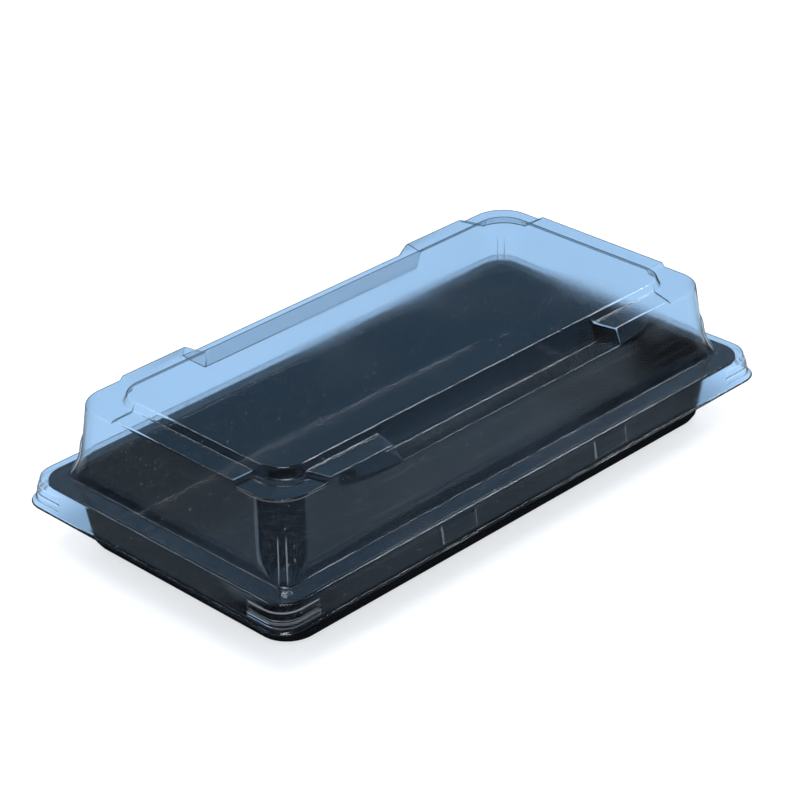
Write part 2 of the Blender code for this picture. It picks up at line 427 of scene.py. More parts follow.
@dataclass(frozen=True)
class ClearPolystyrene:
    """Clear oriented polystyrene, thermoformed: thin stiff sheet with a cool tint and a bright gloss.

    Forming leaves long shallow waves and fine draw lines that bend the reflections, and handling leaves
    a faint bloom and a few specks of dust. The same pale veil paints thin highlight lines along the
    pressed edges.
    """

    tint: str = "#f8fafc"
    # Colour of the dust specks, the rubbing and the painted edge highlight lines.
    dust: str = "#eef3fa"
    mirror_tint: str = "#e1effd"
    clear_roughness: float = 0.03
    cloudy_roughness: float = 0.11
    cloud_mm: float = 70.0
    index: float = 1.46
    wave_mm: float = 30.0
    draw_line_mm: float = 1.1
    draw_line_length_mm: float = 70.0
    rubbing: float = 0.008
    rubbed_height_mm: float = 44.0
    # Strength of the painted highlight lines along the pressings' edges.
    painted_edge_highlight_strength: float = 0.15

    def material(self) -> bpy.types.Material:
        """Material of the finish."""
        material, tree = empty_material("clear_oriented_polystyrene")
        place = add_node(tree, "ShaderNodeTexCoord")
        waves = add_node(
            tree,
            "ShaderNodeTexNoise",
            feeds={"Vector": place.outputs["Object"], "Scale": 1 / (self.wave_mm * MM), "Detail": 1.0},
        )
        lines = add_node(
            tree,
            "ShaderNodeMapping",
            feeds={
                "Vector": place.outputs["Object"],
                "Scale": (
                    1 / (self.draw_line_length_mm * MM),
                    1 / (self.draw_line_mm * MM),
                    1 / (self.draw_line_mm * MM),
                ),
            },
        )
        line_noise = add_node(
            tree, "ShaderNodeTexNoise", feeds={"Vector": lines, "Scale": 1.0, "Detail": 2.0, "Roughness": 0.5}
        )
        wave_bump = add_node(
            tree, "ShaderNodeBump", feeds={"Height": waves, "Strength": 0.05, "Distance": 0.5 * MM}
        )
        line_bump = add_node(
            tree,
            "ShaderNodeBump",
            feeds={"Height": line_noise, "Strength": 0.05, "Distance": 0.04 * MM, "Normal": wave_bump},
        )
        clouds = add_node(
            tree,
            "ShaderNodeTexNoise",
            feeds={"Vector": place.outputs["Object"], "Scale": 1 / (self.cloud_mm * MM), "Detail": 2.0},
        )
        cloudiness = add_node(
            tree,
            "ShaderNodeMapRange",
            {"interpolation_type": "SMOOTHSTEP"},
            {
                "Value": clouds,
                "From Min": 0.4,
                "From Max": 0.62,
                "To Min": self.clear_roughness,
                "To Max": self.cloudy_roughness,
            },
        )
        glass = add_node(
            tree,
            "ShaderNodeBsdfPrincipled",
            feeds={
                "Base Color": linear(self.tint),
                "Roughness": cloudiness,
                "IOR": self.index,
                "Specular Tint": linear(self.mirror_tint),
                "Transmission Weight": 1.0,
                "Normal": line_bump,
            },
        )
        specks = add_node(
            tree,
            "ShaderNodeTexNoise",
            feeds={"Vector": place.outputs["Object"], "Scale": 1 / (0.9 * MM), "Detail": 1.0},
        )
        haze_and_edge_light = add_node(
            tree,
            "ShaderNodeMapRange",
            feeds={"Value": specks, "From Min": 0.74, "From Max": 0.82, "To Min": 0.0, "To Max": 0.2},
        )
        rubbing = add_node(
            tree,
            "ShaderNodeMapRange",
            feeds={"Value": line_noise, "From Min": 0.5, "From Max": 0.75, "To Min": 0.0, "To Max": self.rubbing},
        )
        height = add_node(tree, "ShaderNodeSeparateXYZ", feeds={0: place.outputs["Object"]}).outputs[2]
        below = add_node(
            tree,
            "ShaderNodeMapRange",
            {"interpolation_type": "SMOOTHSTEP"},
            {
                "Value": height,
                "From Min": self.rubbed_height_mm * MM,
                "From Max": (self.rubbed_height_mm + 5.0) * MM,
                "To Min": 1.0,
                "To Max": 0.0,
            },
        )
        rubbing = add_node(tree, "ShaderNodeMath", {"operation": "MULTIPLY"}, {0: rubbing, 1: below})
        haze_and_edge_light = add_node(tree, "ShaderNodeMath", {"operation": "ADD"}, {0: haze_and_edge_light, 1: rubbing})
        # Painted highlight lines along the pressings' edges, as a pale veil on the glass.
        edges = add_node(tree, "ShaderNodeAttribute", {"attribute_type": "GEOMETRY", "attribute_name": EDGE_HIGHLIGHT})
        painted_edge_light = add_node(
            tree, "ShaderNodeMath", {"operation": "MULTIPLY"}, {0: edges.outputs["Fac"], 1: self.painted_edge_highlight_strength}
        )
        haze_and_edge_light = add_node(tree, "ShaderNodeMath", {"operation": "ADD"}, {0: haze_and_edge_light, 1: painted_edge_light})
        # Pale diffuse veil: dust specks, rubbing and the painted edge highlight lines.
        bloom = add_node(tree, "ShaderNodeBsdfDiffuse", feeds={"Color": linear(self.dust)})
        glass_haze_and_edge_light = add_node(tree, "ShaderNodeMixShader", feeds={0: haze_and_edge_light, 1: glass, 2: bloom})
        clear = add_node(tree, "ShaderNodeBsdfTransparent", feeds={"Color": linear(self.tint)})
        path = add_node(tree, "ShaderNodeLightPath")
        lamps_pass = add_node(
            tree,
            "ShaderNodeMixShader",
            feeds={0: path.outputs["Is Shadow Ray"], 1: glass_haze_and_edge_light, 2: clear},
        )
        add_node(tree, "ShaderNodeOutputMaterial", feeds={"Surface": lamps_pass})
        return material


class LightPool(NamedTuple):
    """A soft oval pool of light on the paper: its middle, half sizes in metres, turn and strength."""

    middle: tuple[float, float]
    halves: tuple[float, float]
    turn: float
    strength: float


@dataclass(frozen=True)
class StudioPaper:
    """Matt pale background paper, lit a little from behind so that shadows on it stay faint.

    Seen straight it is white. Through the lid it is a bluish white, shaded under the tray's edge. In
    reflections it is dim, with soft pools of light beside the tray's sides, as dark cards round the
    table would make it.
    """

    outline: Outline
    colour: str = "#b8babc"
    glow: str = "#cdcfd1"
    through: str = "#aed7ff"
    through_strength: float = 1.15
    through_shade: str = "#7fa0c0"
    mirrored: str = "#0b0d0f"
    mirrored_pool: str = "#86949f"
    pools: tuple[LightPool, ...] = (
        LightPool((0.062, -0.149), (0.2, 0.09), -45.6, 1.0),
        LightPool((-0.183, 0.08), (0.15, 0.046), -45.6, 0.75),
        LightPool((-0.199, 0.0395), (0.08, 0.018), -38.0, 2.8),
        LightPool((-0.15, -0.102), (0.09, 0.03), -45.0, 1.3),
    )
    pool_edge: float = 0.3
    shade_width: float = 0.02

    def pool_light(self, tree: bpy.types.NodeTree, place: bpy.types.NodeSocket) -> bpy.types.Node:
        """Node that gives the strength of the pools of light, and 0 between them.

        Each pool has its like on the opposite side of the tray.
        """
        light: Any = 0.0
        for pool in self.pools:
            for sign in (-1, 1):
                x, y = (sign * value for value in pool.middle)
                centred = add_node(
                    tree,
                    "ShaderNodeMapping",
                    {"vector_type": "TEXTURE"},
                    {
                        "Vector": place,
                        "Location": (x, y, 0.0),
                        "Rotation": (0.0, 0.0, math.radians(pool.turn)),
                        "Scale": (*pool.halves, 1.0),
                    },
                )
                fade = add_node(tree, "ShaderNodeTexGradient", {"gradient_type": "SPHERICAL"}, {0: centred})
                soft = add_node(
                    tree,
                    "ShaderNodeMapRange",
                    {"interpolation_type": "SMOOTHSTEP"},
                    {"Value": fade.outputs["Fac"], "From Max": self.pool_edge, "To Max": pool.strength},
                )
                light = add_node(tree, "ShaderNodeMath", {"operation": "MAXIMUM"}, {0: light, 1: soft})
        return light

    def openness(self, tree: bpy.types.NodeTree, place: bpy.types.NodeSocket) -> bpy.types.Node:
        """Node that gives 0 under the tray and rises to 1 a little way outside it."""
        mirrored = add_node(tree, "ShaderNodeVectorMath", {"operation": "ABSOLUTE"}, {0: place})
        half = (self.outline.length / 2 * MM, self.outline.width / 2 * MM, 0.0)
        beyond = add_node(tree, "ShaderNodeVectorMath", {"operation": "SUBTRACT"}, {0: mirrored, 1: half})
        axes = add_node(tree, "ShaderNodeSeparateXYZ", feeds={0: beyond})
        furthest = add_node(
            tree, "ShaderNodeMath", {"operation": "MAXIMUM"}, {0: axes.outputs[0], 1: axes.outputs[1]}
        )
        return add_node(
            tree,
            "ShaderNodeMapRange",
            {"interpolation_type": "SMOOTHSTEP"},
            {"Value": furthest, "From Min": -0.005, "From Max": self.shade_width},
        )

    def material(self) -> bpy.types.Material:
        """Material of the finish."""
        material, tree = empty_material("matt_studio_paper")
        place = add_node(tree, "ShaderNodeTexCoord").outputs["Object"]
        openness = self.openness(tree, place)
        pool_share = add_node(
            tree, "ShaderNodeMath", {"operation": "MULTIPLY"}, {0: self.pool_light(tree, place), 1: openness}
        )
        dim = add_node(
            tree,
            "ShaderNodeMix",
            {"data_type": "RGBA", "clamp_factor": False},
            {"Factor": pool_share, 6: linear(self.mirrored), 7: linear(self.mirrored_pool)},
        )
        shaded = add_node(
            tree,
            "ShaderNodeMix",
            {"data_type": "RGBA"},
            {"Factor": openness, 6: linear(self.through_shade), 7: linear(self.through)},
        )
        matt = add_node(tree, "ShaderNodeBsdfDiffuse", feeds={"Color": linear(self.colour)})
        glow = add_node(tree, "ShaderNodeEmission", feeds={"Color": linear(self.glow)})
        seen = add_node(tree, "ShaderNodeAddShader", feeds={0: matt, 1: glow})
        through = add_node(
            tree,
            "ShaderNodeEmission",
            feeds={"Color": shaded.outputs[2], "Strength": self.through_strength},
        )
        reflected = add_node(tree, "ShaderNodeEmission", feeds={"Color": dim.outputs[2]})
        paper = by_path(tree, seen, through, reflected)
        add_node(tree, "ShaderNodeOutputMaterial", feeds={"Surface": paper})
        return material


# ---------------------------------------------------------------------------------------------------
# Tray
# ---------------------------------------------------------------------------------------------------


@dataclass
class TrayBase:
    """The black base: a flat floor, leaning walls, and a flat flange with a short turned-down rim."""

    outline: Outline
    finish: Finish
    flange_top: float = field(default_factory=lambda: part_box("tray")[1].z / MM)
    rim_inset: float = field(default_factory=lambda: (CAD_HIGH.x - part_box("tray")[1].x) / MM)
    sheet: float = 0.45
    floor_inset: float = 14.0
    wall_foot_inset: float = 11.9
    wall_foot_height: float = 2.1
    wall_top_inset: float = 9.6
    wall_radius: float = 11.6
    rim_radius: float = 7.6
    rim_depth: float = 1.5
    corner_steps: int = 28
    bend_steps: int = 6

    def profile(self) -> list[Level]:
        """Levels from the middle of the floor, over the outside to the rim, and back over the inside."""
        middle = self.outline.width / 2
        floor_radius = self.wall_radius - (self.floor_inset - self.wall_foot_inset)
        underside = self.flange_top - self.sheet
        rim_inside = self.rim_inset + self.sheet
        bends = [
            Bend(middle, 0.0, 0.0),
            Bend(self.floor_inset + 3.0, 0.0, floor_radius - 1.0),
            Bend(self.floor_inset - 0.3, 0.0, floor_radius, 2.2),
            Bend(self.wall_foot_inset - 0.1, self.wall_foot_height + 0.6, self.wall_radius),
            Bend(self.wall_top_inset + 0.4, underside * 0.8, self.wall_radius),
            Bend(self.wall_top_inset, underside, self.wall_radius, 0.7),
            Bend(blend(self.wall_top_inset, rim_inside, 0.6), underside, self.wall_radius - 2.0),
            Bend(rim_inside, underside, self.rim_radius, 0.55),
            Bend(rim_inside, self.flange_top - self.rim_depth, self.rim_radius),
        ]
        outside = rounded_profile(bends, self.bend_steps)
        inside = other_face(outside, -self.sheet)
        inside[0] = Level(middle, self.sheet, 0.0)
        return outside + list(reversed(inside))

    def loft(self) -> bpy.types.NodeTree:
        """Geometry tree that stretches a profile round the rounded rectangle of each of its levels.

        Its geometry input is the profile: one point for each level, at inset, corner radius, height.
        """
        sizes = ("Length", "Width", "Corner Steps")
        tree, start, end = geometry_tree("rounded_tray_loft", sizes)
        levels = add_node(tree, "GeometryNodeAttributeDomainSize", feeds={0: start.outputs["Geometry"]})
        rows = levels.outputs["Point Count"]
        per_corner = add_node(
            tree, "ShaderNodeMath", {"operation": "ADD"}, {0: start.outputs["Corner Steps"], 1: 1.0}
        )
        stations = add_node(tree, "ShaderNodeMath", {"operation": "MULTIPLY"}, {0: per_corner, 1: 4.0})
        columns = add_node(tree, "ShaderNodeMath", {"operation": "ADD"}, {0: stations, 1: 1.0})
        grid = add_node(tree, "GeometryNodeMeshGrid", feeds={"Vertices X": columns, "Vertices Y": rows})
        index = add_node(tree, "GeometryNodeInputIndex")
        share = add_node(tree, "ShaderNodeMath", {"operation": "DIVIDE"}, {0: index, 1: rows})
        column = add_node(tree, "ShaderNodeMath", {"operation": "FLOOR"}, {0: share})
        row = add_node(tree, "ShaderNodeMath", {"operation": "MODULO"}, {0: index, 1: rows})
        station = add_node(tree, "ShaderNodeMath", {"operation": "MODULO"}, {0: column, 1: stations})
        corner_share = add_node(tree, "ShaderNodeMath", {"operation": "DIVIDE"}, {0: station, 1: per_corner})
        corner = add_node(tree, "ShaderNodeMath", {"operation": "FLOOR"}, {0: corner_share})
        step = add_node(tree, "ShaderNodeMath", {"operation": "MODULO"}, {0: station, 1: per_corner})
        turned = add_node(
            tree, "ShaderNodeMath", {"operation": "DIVIDE"}, {0: step, 1: start.outputs["Corner Steps"]}
        )
        directions = []
        for part in (turned, 0.5):
            turn = add_node(tree, "ShaderNodeMath", {"operation": "ADD"}, {0: corner, 1: part})
            angle = add_node(tree, "ShaderNodeMath", {"operation": "MULTIPLY"}, {0: turn, 1: QUARTER_TURN})
            cosine = add_node(tree, "ShaderNodeMath", {"operation": "COSINE"}, {0: angle})
            sine = add_node(tree, "ShaderNodeMath", {"operation": "SINE"}, {0: angle})
            directions.append(add_node(tree, "ShaderNodeCombineXYZ", feeds={0: cosine, 1: sine}))
        side = add_node(tree, "ShaderNodeVectorMath", {"operation": "SIGN"}, {0: directions[1]})
        size = add_node(
            tree, "ShaderNodeCombineXYZ", feeds={0: start.outputs["Length"], 1: start.outputs["Width"]}
        )
        half = add_node(tree, "ShaderNodeVectorMath", {"operation": "SCALE"}, {0: size, "Scale": 0.5})
        place = add_node(tree, "GeometryNodeInputPosition")
        sample = add_node(
            tree,
            "GeometryNodeSampleIndex",
            {"data_type": "FLOAT_VECTOR", "domain": "POINT"},
            {"Geometry": start.outputs["Geometry"], "Value": place, "Index": row},
        )
        level = add_node(tree, "ShaderNodeSeparateXYZ", feeds={0: sample})
        inset, radius, height = level.outputs
        pull = add_node(tree, "ShaderNodeMath", {"operation": "ADD"}, {0: inset, 1: radius})
        pulls = add_node(tree, "ShaderNodeCombineXYZ", feeds={0: pull, 1: pull})
        centre = add_node(tree, "ShaderNodeVectorMath", {"operation": "SUBTRACT"}, {0: half, 1: pulls})
        corner_place = add_node(tree, "ShaderNodeVectorMath", {"operation": "MULTIPLY"}, {0: centre, 1: side})
        arc = add_node(tree, "ShaderNodeVectorMath", {"operation": "SCALE"}, {0: directions[0], "Scale": radius})
        plan = add_node(tree, "ShaderNodeVectorMath", {"operation": "ADD"}, {0: corner_place, 1: arc})
        up = add_node(tree, "ShaderNodeCombineXYZ", feeds={2: height})
        point = add_node(tree, "ShaderNodeVectorMath", {"operation": "ADD"}, {0: plan, 1: up})
        shaped = add_node(
            tree, "GeometryNodeSetPosition", feeds={"Geometry": grid.outputs["Mesh"], "Position": point}
        )
        closed = add_node(tree, "GeometryNodeMergeByDistance", feeds={"Geometry": shaped, "Distance": 1e-6})
        real = add_node(tree, "GeometryNodeRealizeInstances", feeds={"Geometry": closed})
        dressed = add_node(
            tree,
            "GeometryNodeSetMaterial",
            feeds={"Geometry": real, "Material": start.outputs["Material"]},
        )
        tree.links.new(dressed.outputs[0], end.inputs[0])
        return tree

    def build(self) -> bpy.types.Object:
        """Make the tray's mesh and dress it.

        Returns:
            The finished piece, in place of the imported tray.
        """
        mesh = bpy.data.meshes.new("tray_profile")
        points = [(inset * MM, radius * MM, height * MM) for inset, height, radius in self.profile()]
        mesh.from_pydata(points, [], [])
        piece = new_piece("black_tray", mesh)
        values = {
            "Length": self.outline.length * MM,
            "Width": self.outline.width * MM,
            "Corner Steps": float(self.corner_steps),
            "Material": self.finish.material(),
        }
        apply_tree(piece, self.loft(), values)
        face_outwards(piece.data)
        return piece


# ---------------------------------------------------------------------------------------------------
# Lid
# ---------------------------------------------------------------------------------------------------


class Knot(NamedTuple):
    """A distance from the middle of a side, along the wall's top edge and along the panel's edge."""

    wall: float
    panel: float


@dataclass(frozen=True)
class HalfSide:
    """Half a side of the lid, from the side's middle round to the diagonal through the corner.

    The knots tie places on the wall to places on the panel's edge, so that the ledge's steps run along
    the mesh.
    """

    long_side: bool
    outline: Outline
    wall: Level
    panel_inset: float
    knots: tuple[Knot, ...]

    def run(self, level: Level) -> tuple[float, float]:
        """Length of a level's straight half side, and the whole length to the diagonal."""
        size = self.outline.length if self.long_side else self.outline.width
        straight = size / 2 - level.inset - level.radius
        return straight, straight + level.radius * QUARTER_TURN / 2

    def place(self, level: Level, reach: float) -> tuple[Vector, Vector]:
        """Place on a level in the quarter at +X +Y.

        Args:
            level: The level.
            reach: Distance from the middle of the side, along the wall's top edge.

        Returns:
            The position in millimetres, and the level direction away from the lid's middle.
        """
        straight, end = self.run(level)
        inward = min(max((level.inset - self.wall.inset) / (self.panel_inset - self.wall.inset), 0.0), 1.0)
        marks = [0.0] + [knot.wall for knot in self.knots] + [self.run(self.wall)[1]]
        places = [0.0] + [blend(knot.wall, knot.panel, inward) for knot in self.knots] + [end]
        span = min(bisect_right(marks, reach), len(marks) - 1)
        share = (reach - marks[span - 1]) / (marks[span] - marks[span - 1])
        distance = blend(places[span - 1], places[span], share)
        turn = max(distance - straight, 0.0) / level.radius
        size = self.outline.width if self.long_side else self.outline.length
        along = min(distance, straight) + level.radius * math.sin(turn)
        across = size / 2 - level.inset - level.radius * (1.0 - math.cos(turn))
        if self.long_side:
            return Vector((along, across, level.height)), Vector((math.sin(turn), math.cos(turn), 0.0))
        return Vector((across, along, level.height)), Vector((math.cos(turn), math.sin(turn), 0.0))


class Station(NamedTuple):
    """A place round the lid: the signs of its quarter, its half side and its reach along that."""

    quarter: Vector
    side: HalfSide
    reach: float


class Measure(Enum):
    """What a pressing's limits are measured on."""

    HEIGHT = "height above the base"
    ALONG = "distance from the middle along the length"
    ACROSS = "distance from the middle across the width"
    DIAGONAL = "distance from the diagonal through a corner"


class Limit(NamedTuple):
    """A pressing fades in at its low end and out at its high end, each over the softness."""

    measure: Measure
    low: float
    high: float
    softness: float


@dataclass(frozen=True)
class Pressing:
    """A small form pressed into the lid's sheet, the same in all four quarters.

    A positive depth moves the sheet outwards, and none leaves it in place. The edges at its first
    limit get a thin painted highlight line, a pale veil on the glass.
    """

    name: str
    depth: float
    limits: tuple[Limit, ...]


@dataclass
class ClearLid:
    """The clear lid: raised panel, ledge with corner shoulders and grip recesses, wall, flange, skirt."""

    outline: Outline
    finish: Finish
    sheet: float = 0.26
    panel_inset: float = 22.5
    panel_radius: float = 9.0
    step_foot_inset: float = 21.0
    step_foot_radius: float = 10.5
    ledge_drop: float = 2.0
    shoulder_drop: float = 3.3
    recess_drop: float = 8.2
    recess_rise: float = 1.6
    recess_step_run: float = 1.6
    recess_end: Knot = Knot(48.8, 46.8)
    recess_step: float = 1.3
    fullness: float = 2.4
    fullness_height: float = 45.2
    fullness_end: float = 50.0
    fullness_fade: float = 30.0
    straight_end: Knot = Knot(62.0, 62.0)
    long_shoulder: Knot = Knot(75.2, 78.1)
    short_shoulder: Knot = Knot(26.8, 27.2)
    shoulder_step: float = 1.3
    wall_top_inset: float = 12.9
    wall_radius: float = 11.0
    wall_foot_inset: float = 10.1
    wall_foot_radius: float = 2.9
    flare_rise: float = 8.5
    flange_top: float = 23.8
    rim_inset: float = 2.4
    rim_radius: float = 7.9
    skirt_foot_inset: float = 1.4
    skirt_foot_height: float = 16.2
    lip_height: float = 15.4
    lip_radius: float = 8.2
    bend_steps: int = 5
    ledge_levels: int = 5
    wall_levels: int = 16
    skirt_levels: int = 22

    def half_side(self, long_side: bool) -> HalfSide:
        """One of the two half sides at a corner."""
        wall = Level(self.wall_top_inset, self.outline.height, self.wall_radius)
        knots = (self.recess_end, self.straight_end, self.long_shoulder) if long_side else (self.short_shoulder,)
        return HalfSide(long_side, self.outline, wall, self.panel_inset, knots)

    def shelf(self, station: Station, outward: float) -> float:
        """Height of the ledge, its shoulder or the recess.

        Args:
            station: Place round the lid.
            outward: Share of the way from the panel's step to the wall.

        Returns:
            The height.
        """
        shoulder = self.long_shoulder if station.side.long_side else self.short_shoulder
        on_shoulder = ease((station.reach - shoulder.wall) / self.shoulder_step + 0.5)
        recess = self.recess_share(station)
        depth = blend(blend(self.ledge_drop, self.shoulder_drop, on_shoulder), self.recess_drop, recess)
        return self.outline.height - depth + self.recess_rise * recess * outward

    def recess_share(self, station: Station) -> float:
        """1 in a grip recess and 0 away from it."""
        if not station.side.long_side:
            return 0.0
        return ease((self.recess_end.wall - station.reach) / self.recess_step + 0.5)

    def wall_level(self, height: float, station: Station) -> Level:
        """Level of the wall at a height.

        The wall of a long side is fuller up to the height of its grip recess, slopes in from there to
        the ledge, and gets straighter towards the corners.

        Args:
            height: The height.
            station: Place round the lid.

        Returns:
            The level.
        """
        rise = height - self.flange_top
        top = self.outline.height - self.ledge_drop
        draft = (self.wall_top_inset - self.wall_foot_inset) / (top - self.flange_top)
        fullness = 0.0
        if station.side.long_side:
            full = self.fullness_height
            up = min(rise / (full - self.flange_top), (top - height) / (top - full))
            fade = ease((station.reach - self.fullness_end) / self.fullness_fade)
            fullness = self.fullness * up * (1.0 - fade)
        squareness = max(1.0 - rise / self.flare_rise, 0.0) ** 2
        radius = blend(self.wall_radius, self.wall_foot_radius, squareness)
        return Level(self.wall_foot_inset + draft * rise - fullness, height, radius)

    def bends(self, station: Station) -> list[Bend]:
        """Profile of the lid's outer face at a station, from the top panel down to the lip."""
        top = self.outline.height
        foot_inset = self.step_foot_inset - self.recess_step_run * self.recess_share(station)
        edge_height = self.shelf(station, 1.0)
        edge = self.wall_level(edge_height, station)
        bends = [
            Bend(self.panel_inset + 3.0, top, self.panel_radius - 3.0),
            Bend(self.panel_inset - 0.2, top, self.panel_radius + 0.1, 0.7),
            Bend(foot_inset, self.shelf(station, 0.0), self.step_foot_radius, 0.5),
        ]
        for step in range(1, self.ledge_levels):
            share = step / self.ledge_levels
            inset = blend(foot_inset, edge.inset, share)
            radius = blend(self.step_foot_radius, edge.radius, share)
            bends.append(Bend(inset, self.shelf(station, share), radius))
        bends.append(Bend(*edge, 0.7))
        for step in range(1, self.wall_levels):
            share = step / self.wall_levels
            bends.append(Bend(*self.wall_level(blend(edge_height, self.flange_top, share), station)))
        rim_foot = self.flange_top - 1.6
        skirt_run = (self.flange_top - rim_foot) / (self.flange_top - self.skirt_foot_height)
        bends += [
            Bend(self.wall_foot_inset, self.flange_top, self.wall_foot_radius, 0.8),
            Bend(blend(self.wall_foot_inset, self.rim_inset, 0.5), self.flange_top, self.rim_radius - 1.5),
            Bend(self.rim_inset, self.flange_top, self.rim_radius, 0.8),
        ]
        for step in range(self.skirt_levels):
            share = blend(skirt_run, 0.94, step / (self.skirt_levels - 1))
            bends.append(
                Bend(
                    blend(self.rim_inset, self.skirt_foot_inset, share),
                    blend(self.flange_top, self.skirt_foot_height, share),
                    blend(self.rim_radius, self.lip_radius - self.skirt_foot_inset, share),
                )
            )
        bends += [
            Bend(self.skirt_foot_inset, self.skirt_foot_height, self.lip_radius - self.skirt_foot_inset, 0.5),
            Bend(0.0, self.lip_height, self.lip_radius),
        ]
        return bends

    def reaches(self, side: HalfSide) -> list[float]:
        """Reaches of the stations of a half side, close together at its steps and on the diagonal."""
        straight, end = side.run(side.wall)
        shoulder = self.long_shoulder if side.long_side else self.short_shoulder
        rows = [
            (shoulder.wall, 0.8, 0.2),
            (shoulder.wall, 2.6, 1.3),
            (straight + 0.85, 0.45, 0.15),
            (end - 3.0, 0.9, 0.6),
            (end - 1.4, 0.4, 0.1),
            (end - 0.5, 0.5, 0.25),
        ]
        if side.long_side:
            rows += [
                (self.recess_end.wall, 0.8, 0.16),
                (self.straight_end.wall - 5.0, 5.0, 2.0),
                (26.9, 0.3, 0.2),
                (41.3, 0.3, 0.2),
            ]
        places = {float(place) for place in range(0, int(straight), 5)} | {straight + 2.4, straight + 3.8}
        for centre, half, gap in rows:
            count = round(2 * half / gap)
            places.update(centre - half + 2 * half * step / count for step in range(count + 1))
        reaches = [0.0]
        for place in sorted(places):
            if place - reaches[-1] > 0.06:
                reaches.append(place)
        reaches[-1] = end
        return reaches

    def stations(self) -> list[Station]:
        """Stations once round the lid, counterclockwise from the middle of the short side at +X."""
        sides = [self.half_side(False), self.half_side(True)]
        stations = []
        for quarter in (Vector((1, 1, 1)), Vector((-1, 1, 1)), Vector((-1, -1, 1)), Vector((1, -1, 1))):
            first, second = sides
            stations += [Station(quarter, first, reach) for reach in self.reaches(first)[1:]]
            stations += [Station(quarter, second, reach) for reach in self.reaches(second)[-2::-1]]
            sides.reverse()
        return stations

    def sheet_mesh(self) -> bpy.types.Mesh:
        """Closed mesh of the formed sheet before its small details are pressed in.

        Returns:
            The mesh, which keeps each point's outward direction as an attribute.
        """
        shell = bmesh.new()
        outward = shell.verts.layers.float_vector.new(OUTWARD)
        columns = []
        for station in self.stations():
            levels = rounded_profile(self.bends(station), self.bend_steps)
            around = levels + list(reversed(other_face(levels, self.sheet)))
            column = []
            for level in around:
                place, direction = station.side.place(level, station.reach)
                vertex = shell.verts.new(place * station.quarter * MM)
                vertex[outward] = direction * station.quarter
                column.append(vertex)
            columns.append(column)
        for column, following in zip(columns, columns[1:] + columns[:1]):
            for row in range(len(column) - 1):
                shell.faces.new((column[row], column[row + 1], following[row + 1], following[row]))
        shell.faces.new([column[0] for column in columns])
        shell.faces.new([column[-1] for column in reversed(columns)])
        mesh = bpy.data.meshes.new("clear_lid")
        shell.to_mesh(mesh)
        shell.free()
        return mesh

    def pressings(self) -> tuple[Pressing, ...]:
        """Small forms pressed into the lid's corners and skirt, and one of no depth that only paints a highlight
        line on the corner shoulders.
        """
        corner = (
            Limit(Measure.ALONG, 91.3, 200.0, 0.5),
            Limit(Measure.ACROSS, 42.3, 200.0, 0.5),
        )
        return (
            Pressing(
                "Corner Rib",
                0.7,
                (Limit(Measure.DIAGONAL, -1.0, 1.03, 0.4), Limit(Measure.HEIGHT, 24.2, 36.0, 0.6), corner[1]),
            ),
            Pressing("Corner Band", 0.25, (Limit(Measure.HEIGHT, 16.6, 21.2, 0.4), *corner)),
            Pressing("Snap Groove", -0.5, (Limit(Measure.HEIGHT, 17.9, 18.8, 0.4), *corner)),
            # Presses nothing: it only paints a thin highlight line round the corner shoulders' outer edge.
            Pressing(
                "Shoulder Edge",
                0.0,
                (
                    Limit(Measure.HEIGHT, 48.09, 48.14, 0.1),
                    Limit(Measure.ALONG, 77.0, 200.0, 1.0),
                    Limit(Measure.ACROSS, 28.0, 200.0, 1.0),
                ),
            ),
            Pressing(
                "Skirt Panel",
                0.5,
                (
                    Limit(Measure.ALONG, 26.7, 41.1, 0.4),
                    Limit(Measure.ACROSS, 50.0, 200.0, 0.5),
                    Limit(Measure.HEIGHT, 16.6, 22.4, 0.5),
                ),
            ),
        )

    def press_tree(self) -> tuple[bpy.types.NodeTree, dict[str, float]]:
        """Geometry tree that presses the small forms into the sheet and marks painted highlight lines along their
        edges.

        Returns:
            The tree, and the value of each of its number inputs.
        """
        values: dict[str, float] = {"Diagonal": (self.outline.length - self.outline.width) / 2 * MM}
        for pressing in self.pressings():
            values[f"{pressing.name} Depth"] = pressing.depth * MM
            for limit in pressing.limits:
                label = f"{pressing.name} {limit.measure.name.title()}"
                values[f"{label} Low"] = limit.low * MM
                values[f"{label} High"] = limit.high * MM
                values[f"{label} Softness"] = limit.softness * MM
        tree, start, end = geometry_tree("lid_pressings", list(values))
        place = add_node(tree, "GeometryNodeInputPosition")
        mirrored = add_node(tree, "ShaderNodeVectorMath", {"operation": "ABSOLUTE"}, {0: place})
        axes = add_node(tree, "ShaderNodeSeparateXYZ", feeds={0: mirrored})
        gap = add_node(tree, "ShaderNodeMath", {"operation": "SUBTRACT"}, {0: axes.outputs[0], 1: axes.outputs[1]})
        off = add_node(
            tree, "ShaderNodeMath", {"operation": "SUBTRACT"}, {0: gap, 1: start.outputs["Diagonal"]}
        )
        square = add_node(tree, "ShaderNodeMath", {"operation": "MULTIPLY"}, {0: off, 1: math.sqrt(0.5)})
        measures = {
            Measure.ALONG: axes.outputs[0],
            Measure.ACROSS: axes.outputs[1],
            Measure.HEIGHT: axes.outputs[2],
            Measure.DIAGONAL: add_node(tree, "ShaderNodeMath", {"operation": "ABSOLUTE"}, {0: square}),
        }
        depth: Any = 0.0
        painted_edge_highlight: Any = 0.0
        for pressing in self.pressings():
            share: Any = 1.0
            edge_share: Any = None
            for limit in pressing.limits:
                label = f"{pressing.name} {limit.measure.name.title()}"
                limit_share: Any = 1.0
                for end_name, rises in (("Low", True), ("High", False)):
                    edge = start.outputs[f"{label} {end_name}"]
                    softness = start.outputs[f"{label} Softness"]
                    fade_end = add_node(tree, "ShaderNodeMath", {"operation": "ADD"}, {0: edge, 1: softness})
